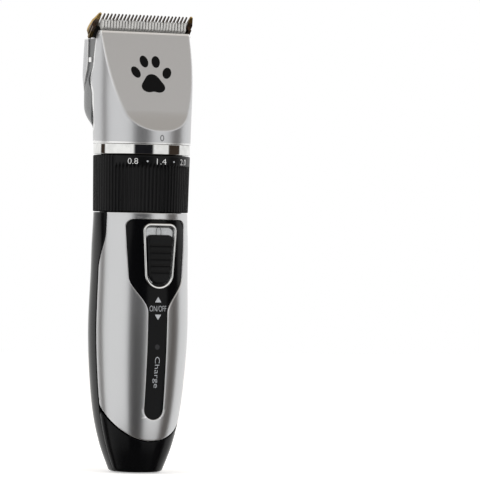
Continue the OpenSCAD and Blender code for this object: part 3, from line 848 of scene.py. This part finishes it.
def build_button():
    low, high = node_box("switch_button")
    z0, z1 = low.z, high.z
    foot_y, edge_r, corner_r, top_half = -17.95, 0.75, 2.0, 5.5
    first_rib, rib_step, rib_width, rib_height = 4.6, 2.55, 0.42, 0.45
    round_z = z0 + BUTTON_LOW_R

    def half_width(z):
        if z < round_z:
            return math.sqrt(max(0.0, BUTTON_LOW_R ** 2 - (round_z - z) ** 2))
        w = lerp(BUTTON_LOW_R, high.x, (z - round_z) / (z1 - corner_r - round_z))
        if z > z1 - corner_r:
            rest = max(0.0, corner_r ** 2 - (z - z1 + corner_r) ** 2)
            return min(w, top_half - corner_r + math.sqrt(rest))
        return w

    count = 110
    rows = []
    for k in range(count + 1):
        z = z0 + (z1 - z0) * (0.5 - 0.5 * math.cos(math.pi * k / count))
        w = max(half_width(z), 0.05)
        rib = 0.0
        for i in range(5):
            centre = z0 + first_rib + rib_step * i
            rib = max(rib, math.exp(-((z - centre) / rib_width) ** 2))
        row = [(-w, foot_y, z)]
        for j in range(25):
            u = -1 + 2 * j / 24
            edge = min(1.0, (1 - abs(u)) * w / 0.8)
            end = min(1.0, (z - z0) / 1.2, (z1 - z) / 1.2)
            round_off = edge_r * (1 - math.sqrt(max(0.0, 1 - (1 - edge) ** 2)))
            round_end = edge_r * (1 - math.sqrt(max(0.0, 1 - (1 - max(end, 0)) ** 2)))
            side = smooth((1 - abs(u)) * 5)
            y = low.y + rib_height + round_off + round_end - rib_height * rib * side
            row.append((u * w, y, z))
        row.append((w, foot_y, z))
        rows.append(row)
    button = skin_mesh("switch_button_cap", rows, close_loop=True, caps=True)
    crisp(button)
    piece(button, "switch", "black_plastic", BLACK_SATIN, "switch_button")


# ------------------------------------------------------------------- ring

RIBS, RIB_DEPTH = 78, 0.42
RING_TAPER = 0.35
# The plain band with the numbers: its height and half of its angle.
BAND_H, BAND_HALF = 4.0, 56.0


def ring_radius(z):
    return lerp(RING_R - RING_TAPER, RING_R, (z - RING_LOW) / (RING_TOP - RING_LOW))


def lathe(name, profile, count=240):
    rows = [[(r * math.sin(2 * math.pi * k / count), -r * math.cos(2 * math.pi * k / count), z)
             for k in range(count)] for r, z in profile]
    return skin_mesh(name, rows, close_rows=True, close_loop=True)


def build_ring():
    per_rib = 8
    count = RIBS * per_rib
    heights = [RING_LOW, RING_LOW + 0.15, RING_LOW + 0.4] + [
        lerp(RING_LOW + 0.4, RING_TOP - BAND_H, k / 10) for k in range(1, 11)] + [
        RING_TOP - BAND_H + 0.12, RING_TOP - 2, RING_TOP - 0.6, RING_TOP - 0.25, RING_TOP]
    rows = []
    for z in heights:
        outer = ring_radius(z)
        rim = min(z - RING_LOW, RING_TOP - z)
        outer -= 0.4 * (1 - math.sqrt(max(0.0, 1 - (1 - min(rim / 0.4, 1)) ** 2)))
        row = []
        for k in range(count):
            azimuth = 360 * k / count
            from_front = min(azimuth, 360 - azimuth)
            phase = (k % per_rib) / per_rib
            cut = RIB_DEPTH * (0.5 + 0.5 * math.cos(2 * math.pi * phase)) ** 1.3
            plain = z > RING_TOP - BAND_H + 0.05 and from_front < BAND_HALF
            row.append(at(azimuth, outer - (0.0 if plain else cut), z))
        rows.append(row)
    bore = node_box("neck_frame")[1].x + 0.07
    for z in (RING_TOP, RING_LOW):
        rows.append([at(360 * k / count, bore, z) for k in range(count)])
    ring = skin_mesh("adjust_ring_grip", rows, close_rows=True, close_loop=True)
    crisp(ring)
    piece(ring, "ring", "black_plastic", RING_BLACK, "adjust_ring")


def build_collar():
    low, top, r = COLLAR_LOW, COLLAR_TOP, COLLAR_R
    turns = [math.pi / 2 * k / 4 for k in range(5)]
    arc = [(r - 0.35 * (1 - math.sin(t)), low + 0.35 * (1 - math.cos(t))) for t in turns]
    arc += [(x, low + top - z) for x, z in reversed(arc)]
    neck = node_box("neck_frame")[1].x
    profile = [(neck, low)] + arc + [(neck, top)]
    collar = lathe("ring_collar_band", profile)
    crisp(collar)
    piece(collar, "handle", "bright_metal", CHROME, "ring_collar")


# ------------------------------------------------------------------- head

def head_point(azimuth, z, inset=0.0):
    t = (z - HEAD_LOW) / (HEAD_TOP - HEAD_LOW)
    a = 18.6 + (HEAD_W - 18.6) * smooth(t * 2) - inset
    n = 2.15 if math.cos(math.radians(azimuth)) > 0 else 2.2 + 0.9 * smooth(t * 1.6)
    return at(azimuth, super_radius(azimuth, a, 18.8 - inset, 18.6 - inset, n), z)


def facet_at(z):
    """Y of the front facet at a height: flat, with a cove that flares out to the lip below."""
    cove = max(0.0, COVE_Z - z) / (COVE_Z - LIP_Z)
    return FACET_Y - (HEAD_TOP - z) * math.tan(FACET_LEAN) - COVE_DEPTH * cove ** 2


def facet_slope(z):
    """Unit vector up the facet at a height."""
    return Vector((0, (facet_at(z + 0.05) - facet_at(z - 0.05)) * 10, 1)).normalized()


def head_edge(z):
    """Y of the housing's rear edge on its sides."""
    if z > 158:
        return 5.6 - 3.3 * ((z - 158) / 12.8) ** 1.2 - 1.6 * smooth((z - 169.6) / 1.2)
    if z > 146.5:
        bump = math.sin(math.pi * (z - 146) / 12) ** 2
        return 5.6 + 4.4 * bump + 0.8 * (1 - smooth((z - 146.5) / 6))
    return 6.4


def crease_azimuth(z):
    """Azimuth at which the body meets the facet; 0 at the facet's lowest point."""
    return crossing(0.0, 120.0, lambda azimuth: head_point(azimuth, z).y < facet_at(z))


def rear_azimuth(z):
    """Azimuth of the housing's rear edge."""
    return crossing(20.0, 170.0, lambda azimuth: head_point(azimuth, z).y < head_edge(z))


def facet_bottom():
    """Height at which the facet leaves the body in front."""
    return crossing(HEAD_LOW + 1, HEAD_TOP, lambda z: head_point(0, z).y >= facet_at(z))


def crease_and_outline():
    """Matching points on the facet's edge and on the housing's outline, as (azimuth, z)."""
    bottom = facet_bottom()
    levels = [lerp(HEAD_TOP, bottom, smooth(k / 240) * 0.5 + k / 480) for k in range(241)]
    crease = [(crease_azimuth(z), z) for z in levels[:-1]] + [(0.0, bottom)]
    wrap = rear_azimuth(WRAP_Z)
    heights = (lerp(HEAD_TOP, WRAP_Z, k / 80) for k in range(81))
    side = resample([(rear_azimuth(z), z) for z in heights], SIDE_POINTS)
    under = resample([(wrap, WRAP_Z), (wrap, HEAD_LOW)], 11)
    front = resample([(wrap, HEAD_LOW), (0.0, HEAD_LOW)], 31)
    outline = side + under[1:] + front[1:]
    return resample(crease, len(outline)), outline, under


def build_head():
    fillet = 0.75
    crease, outline, under = crease_and_outline()
    corners = [head_point(a, z) for a, z in crease]
    body, flat = [], []
    for i, ((a0, z0), (a1, z1)) in enumerate(zip(crease, outline)):
        corner = corners[i]
        along = corners[min(i + 1, len(corners) - 1)] - corners[max(i - 1, 0)]
        slope = facet_slope(z0)
        inward = Vector((0, -slope.z, slope.y)).cross(along).normalized()
        if inward.x > 0 or (abs(corner.x) < 0.01 and inward.z < 0):
            inward = -inward
        if i == len(corners) - 1:
            inward = slope
        width = (head_point(a1, z1) - corner).length
        first = fillet / width
        end = head_point(lerp(a0, a1, first), lerp(z0, z1, first))
        start = corner + inward * fillet
        if i == 0:
            start = corner + Vector((-fillet, 0, 0))
            end = Vector((end.x, end.y, HEAD_TOP))
        column = []
        for k in range(6):
            t = k / 5
            column.append(start * (1 - t) ** 2 + corner * 2 * t * (1 - t) + end * t * t)
        steps = [0.3 / width] + [k / 16 for k in range(1, 17)]
        for share in steps:
            t = lerp(first, 1, share)
            column.append(head_point(lerp(a0, a1, t), lerp(z0, z1, t)))
        body.append(column)
        middle = Vector((0, facet_at(start.z), start.z))
        flat.append([start.lerp(middle, t) for t in (0, 0.03, 0.25, 0.5, 0.75, 1)])
    points, faces = [], []

    def add(rows):
        faces.extend(grid(rows, offset=len(points)))
        points.extend(p for row in rows for p in row)

    for side in (1, -1):
        add([[Vector((p.x * side, p.y, p.z)) for p in row] for row in body])
        add([[Vector((p.x * side, p.y, p.z)) for p in row] for row in flat])
    wrap = under[0][0]
    add([[head_point(lerp(wrap, 360 - wrap, k / 60), z) for k in range(61)] for _, z in under])
    head = mesh_from("head_housing_shell", points, faces)
    thicken(head, 1.5)
    crisp(head, 0.12, 2, 60)
    piece(head, "handle", "silver_paint", SILVER_HEAD, "head_housing")


def bracket_point(azimuth, z, inset=0.0):
    t = (z - 133) / 35
    back = 18.6 + 2.4 * smooth((z - 133) / 12) - 1.8 * max(0.0, (z - 150) / 18) ** 1.6 - inset
    a = 19 - 0.4 * smooth(t * 3) - inset
    return at(azimuth, super_radius(azimuth, a, 10, back, 2.1 + 3.6 * smooth(t * 4)), z)


def bracket_edge(z):
    """Azimuth at which the bracket begins, just behind the housing's rear edge."""
    edge = head_edge(min(z, HEAD_TOP)) + 0.4
    return crossing(30.0, 170.0, lambda azimuth: bracket_point(azimuth, z).y < edge)


def build_bracket():
    low, high = node_heights("blade_bracket")
    count, levels = 150, 60
    rows = []
    for i in range(levels + 1):
        row = []
        for j in range(count + 1):
            z = lerp(low, high, i / levels)
            start = bracket_edge(z)
            azimuth = lerp(start, 360 - start, j / count)
            y = bracket_point(azimuth, z).y
            foot = low + 1.3 * smooth((y - 12.5) / 1.5)
            top = high - 1.7 * smooth((y - 13.2) / 0.8)
            z = lerp(foot, top, i / levels)
            start = bracket_edge(z)
            row.append(bracket_point(lerp(start, 360 - start, j / count), z))
        rows.append(row)
    bracket = skin_mesh("blade_bracket_wall", rows)
    thicken(bracket, 1.5)
    crisp(bracket, 0.15, 2, 50)
    piece(bracket, "blade_set", "gray_plastic", BRACKET_GRAY, "blade_bracket")
    seat = blade_block("blade_seat", (-16.8, 16.8), (-5.5, -1.95), (-19.6, -15.3))
    crisp(seat, 0.3)
    piece(seat, "blade_set", "gray_plastic", BRACKET_GRAY)


def blade_point(x, y, z):
    """A point given in the blades' own upright frame, leaned into place."""
    c, s = math.cos(BLADE_LEAN), math.sin(BLADE_LEAN)
    return Vector((x, BLADE_Y + y * c - z * s, BLADE_Z + y * s + z * c))


def blade_block(name, xs, ys, zs):
    corners = [blade_point(x, y, z) for z in zs for y in ys for x in xs]
    faces = [(0, 1, 3, 2), (4, 6, 7, 5), (0, 4, 5, 1), (2, 3, 7, 6), (0, 2, 6, 4), (1, 5, 7, 3)]
    block = mesh_from(name, corners, faces)
    outward(block)
    return block


def plate_edge(z):
    """Y at which the rear plate ends on the sides."""
    return 10.5 + 9 * (max(0.0, 160 - z) / 13.5) ** 2


def build_rear_plate():
    low, high = node_heights("rear_plate")
    rows = []
    for i in range(41):
        z = lerp(low, high, i / 40)
        edge = plate_edge(z) + 0.02
        start = 90.0
        while bracket_point(start, z, -0.7).y < edge:
            start += 0.1
        rise = 0.06 + 0.62 * smooth((z - low) / 8)
        rows.append([bracket_point(lerp(start, 360 - start, j / 90), z, -rise) for j in range(91)])
    plate = skin_mesh("rear_cover_plate", rows)
    thicken(plate, 0.66)
    crisp(plate, 0.2, 3, 50)
    piece(plate, "blade_set", "silver_paint", PALE, "rear_plate")


# ----------------------------------------------------------------- prints

def solid_outline(outline, place, low=-0.06, high=0.05):
    """Points and faces of a thin solid with this outline; place maps (x, z, depth) to space."""
    count = len(outline)
    points = [place(x, z, depth) for depth in (high, low) for x, z in outline]
    faces = [tuple(range(count)), tuple(reversed(range(count, 2 * count)))]
    faces += [(j, (j + 1) % count, count + (j + 1) % count, count + j) for j in range(count)]
    return points, faces


def merged(name, parts):
    points, faces = [], []
    for part_points, part_faces in parts:
        faces += [tuple(len(points) + v for v in face) for face in part_faces]
        points += part_points
    obj = mesh_from(name, points, faces, smooth_faces=False)
    outward(obj)
    return obj


def on_panel(x, z, depth):
    return handle_point(math.copysign(azimuth_of_x(abs(x), z), x), z, PANEL_RECESS - depth)


def on_facet(x, z, depth):
    """x across the facet and z up its slope from its middle."""
    centre = 153.6
    c, s = math.cos(FACET_LEAN), math.sin(FACET_LEAN)
    return Vector((x, facet_at(centre) + z * s - depth * c, centre + z * c + depth * s))


def ellipse(cx, cz, rx, rz, turn=0.0, count=40):
    c, s = math.cos(math.radians(turn)), math.sin(math.radians(turn))
    out = []
    for k in range(count):
        t = 2 * math.pi * k / count
        u, v = rx * math.cos(t), rz * math.sin(t)
        out.append((cx + u * c - v * s, cz + u * s + v * c))
    return out


def paw_pad(cx, cz, size, count=72):
    """A rounded three-lobed pad with a shallow notch below."""
    out = []
    for k in range(count):
        t = 2 * math.pi * k / count
        notch = 0.1 * math.exp(-((t - 1.5 * math.pi) / 0.35) ** 2)
        r = size * (1 + 0.13 * math.cos(3 * (t - math.pi / 2)) - notch)
        out.append((cx + r * 1.12 * math.cos(t), cz + r * 0.92 * math.sin(t)))
    return out


def build_paw():
    toes = [(-6.6, 1.4, 28), (-2.5, 6.0, 9), (2.5, 6.0, -9), (6.6, 1.4, -28)]
    outlines = [ellipse(x, z, 1.75, 2.5, turn) for x, z, turn in toes] + [paw_pad(0, -3.6, 4.2)]
    paw = merged("paw_print", [solid_outline(o, on_facet) for o in outlines])
    piece(paw, "handle", "black_plastic", INK_BLACK)


def text_shape(words, height, bold):
    """Flat triangles of some lettering, centred on its own middle, as (points, faces)."""
    data = bpy.data.curves.new("lettering", "FONT")
    data.body = words
    data.resolution_u = 4
    data.extrude = 0.5
    data.offset = bold
    obj = add_object("lettering", data)
    mesh = evaluated_mesh(obj)
    points = [v.co.copy() for v in mesh.vertices]
    faces = [tuple(p.vertices) for p in mesh.polygons]
    bpy.data.objects.remove(obj)
    low = [min(p[i] for p in points) for i in range(2)]
    high = [max(p[i] for p in points) for i in range(2)]
    scale = height / (high[1] - low[1])
    middle = [(low[i] + high[i]) / 2 for i in range(2)]
    return [((p.x - middle[0]) * scale, (p.y - middle[1]) * scale, p.z) for p in points], faces


def letters(name, words, height, place, width, bold):
    """Raised print: place maps (x, z, depth) to space, where x and z start at the words' middle."""
    points, faces = text_shape(words, height, bold)
    now = max(p[0] for p in points) - min(p[0] for p in points)
    points = [(p[0] * width / now, p[1], p[2]) for p in points]
    points = [place(x, z, 0.06 if depth > 0 else -0.05) for x, z, depth in points]
    made = mesh_from(name, points, faces, smooth_faces=False)
    outward(made, 0.001)
    return made


def build_prints():
    def level(x, z, depth):
        return on_panel(x, 63.7 + z, depth)

    def downwards(x, z, depth):
        return on_panel(z, 39.1 - x, depth)

    marks = [letters("mark_on_off", "ON/OFF", 2.2, level, 7.2, -0.014),
             letters("mark_charge", "Charge", 2.7, downwards, 12.0, -0.012)]
    for name, z, tip in (("mark_up", 66.1, 2.0), ("mark_down", 61.4, -2.0)):
        outline = [(-1.35, z), (1.35, z), (0.06, z + tip), (-0.06, z + tip)]
        marks.append(merged(name, [solid_outline(outline, on_panel)]))
    for mark in marks:
        piece(mark, "handle", "white_plastic", INK_GRAY)


def build_ring_prints():
    def on_ring(azimuth):
        def place(x, z, depth):
            height = RING_TOP - 2.35 + z
            return at(azimuth + math.degrees(x / RING_R), ring_radius(height) + depth, height)
        return place

    for index, (words, azimuth) in enumerate((("0.8", -34.6), ("1.4", 0.0), ("2.0", 34.6))):
        number = letters(f"dial_number_{index + 1}", words, 2.2, on_ring(azimuth), 4.0, -0.016)
        piece(number, "ring", "white_plastic", INK_WHITE)
    for index, azimuth in enumerate((-17.3, 17.3)):
        outline = ellipse(0, 0, 0.36, 0.36, count=20)
        dot = merged(f"dial_dot_{index + 1}", [solid_outline(outline, on_ring(azimuth))])
        piece(dot, "ring", "white_plastic", INK_GRAY)


def oval_ring(name, place, rx, rz, stroke):
    """A thin raised oval line."""
    loops = [(0, -0.06), (0, 0.02), (stroke, 0.02), (stroke, -0.06)]
    rows = [[place(x, z, depth) for x, z in ellipse(0, 0, rx - inward, rz - inward)]
            for inward, depth in loops]
    return skin_mesh(name, rows, close_rows=True, close_loop=True)


def build_index_mark():
    def on_head(x, z, depth):
        return head_point(math.degrees(x / 18.7), 129.4 + z, -depth)

    def on_track(x, z, depth):
        return Vector((x - 0.3, TRACK_Y - depth, 93.1 + z))

    # The engraved index mark is drawn as a dark gray raised ring: painted shade of its groove.
    piece(oval_ring("index_mark", on_head, 0.85, 1.25, 0.4), "handle", "gray_plastic", BRACKET_GRAY)
    # The engraved off mark is drawn as a black raised ring: painted shade of its groove.
    piece(oval_ring("off_mark", on_track, 1.15, 2.2, 0.22), "handle", "black_plastic", INK_BLACK)


# ----------------------------------------------------- pieces kept from CAD

KEPT = (
    (WHITE, "switch_lever charge_led battery_cradle feed_pusher motor_end_cap eccentric_cam"),
    (STEEL, "battery_tabs case_screws detent_spring motor_can motor_screws motor_shaft hook_bar"),
    (STEEL, "blade_screws blade_spring"),
    (BLACK_SATIN, "slide_switch dc_jack neck_frame motor_magnets motor_seat feed_carriage"),
    (BLACK_SATIN, "drive_fork"),
    (COPPER, "motor_brushes armature commutator"),
    (LENS, "led_lens"), (BOARD, "circuit_board"), (CELL, "battery_cell"), (BRONZE, "motor_bushes"),
    (WIRE, "motor_leads"), (PALE, "latch_clips"), (GOLD, "fixed_blade"), (CUTTER, "moving_blade"),
)
# Width of the rounding on the edges of some of them.
ROUNDED = {"fixed_blade": 0.12, "moving_blade": 0.07, "latch_clips": 0.2, "dc_jack": 0.15,
           "drive_fork": 0.2}


def dress_cad_nodes():
    for material, names in KEPT:
        for name in names.split():
            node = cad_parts[name]
            node.data.materials.clear()
            node.data.materials.append(material)
            if name in ROUNDED:
                crisp(node, ROUNDED[name], 2, 40)


build_camera()
build_world()
build_stage()
area_light("key", VIEW_AZIMUTH - 60, 35, (0.6, 0.9), 1.5)
area_light("fill", VIEW_AZIMUTH + 50, 30, (0.6, 0.9), 1.0)
area_light("top", VIEW_AZIMUTH + 20, 75, (0.7, 0.7), 1.5)

build_rear_shell()
build_front_shell()
build_cover()
build_bezel()
build_track()
build_button()
build_ring()
build_collar()
build_head()
build_bracket()
build_rear_plate()
build_paw()
build_prints()
build_ring_prints()
build_index_mark()
dress_cad_nodes()

bpy.context.scene.view_settings.view_transform = "Standard"
bpy.context.scene.view_settings.look = "None"
